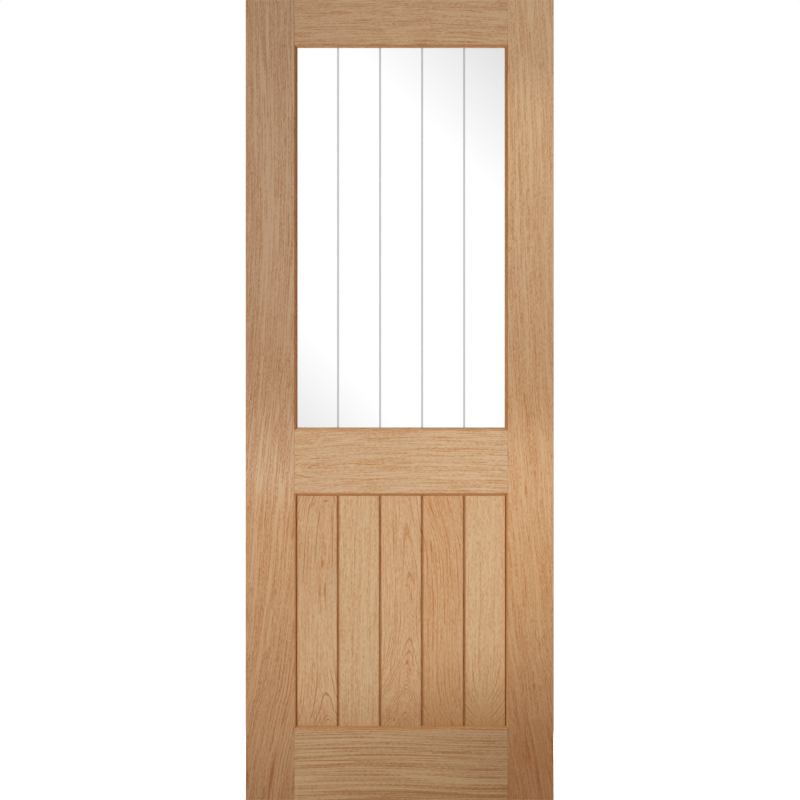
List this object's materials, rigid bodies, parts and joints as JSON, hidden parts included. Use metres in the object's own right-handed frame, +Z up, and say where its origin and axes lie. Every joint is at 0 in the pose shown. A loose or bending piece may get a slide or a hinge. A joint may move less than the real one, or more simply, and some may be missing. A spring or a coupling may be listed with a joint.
{
  "type": "glazed door leaf",
  "caption": "Half-glazed oak door leaf: stiles and rails hold a clear pane with etched upright lines over a panel of upright V-jointed boards; takes hinges and a lock.",
  "frame": {"origin": "foot of the hinge edge, at mid-thickness, on the flat face that takes the hinges", "axes": "+X across the leaf from the hinge edge to the lock edge, +Y from the front face to the back face, +Z up the leaf"},
  "size_m": [0.762, 0.035, 1.981],
  "materials": {
    "oak_stile": "clear satin lacquer over oak",
    "oak_rail": "clear satin lacquer over oak",
    "oak_board": "clear satin lacquer over oak",
    "oak_bead": "clear satin lacquer over oak",
    "oak_moulding": "clear satin lacquer over oak",
    "oak_lipping": "clear satin lacquer over oak",
    "clear_glass": "clear, with etched lines"
  },
  "bodies": {
    "root": {"bottom_rail": "oak_rail", "glass_pane": "clear_glass", "glazing_bead_back_bottom": "oak_bead", "glazing_bead_back_hinge_side": "oak_bead", "glazing_bead_back_lock_side": "oak_bead", "glazing_bead_back_top": "oak_bead", "glazing_bead_front_bottom": "oak_bead", "glazing_bead_front_hinge_side": "oak_bead", "glazing_bead_front_lock_side": "oak_bead", "glazing_bead_front_top": "oak_bead", "hinge_edge_lipping": "oak_lipping", "hinge_stile": "oak_stile", "lock_edge_lipping": "oak_lipping", "lock_rail": "oak_rail", "lock_stile": "oak_stile", "panel_board_1": "oak_board", "panel_board_2": "oak_board", "panel_board_3": "oak_board", "panel_board_4": "oak_board", "panel_board_5": "oak_board", "panel_moulding_back_bottom": "oak_moulding", "panel_moulding_back_hinge_side": "oak_moulding", "panel_moulding_back_lock_side": "oak_moulding", "panel_moulding_back_top": "oak_moulding", "panel_moulding_front_bottom": "oak_moulding", "panel_moulding_front_hinge_side": "oak_moulding", "panel_moulding_front_lock_side": "oak_moulding", "panel_moulding_front_top": "oak_moulding", "top_rail": "oak_rail"}
  },
  "joints": []
}
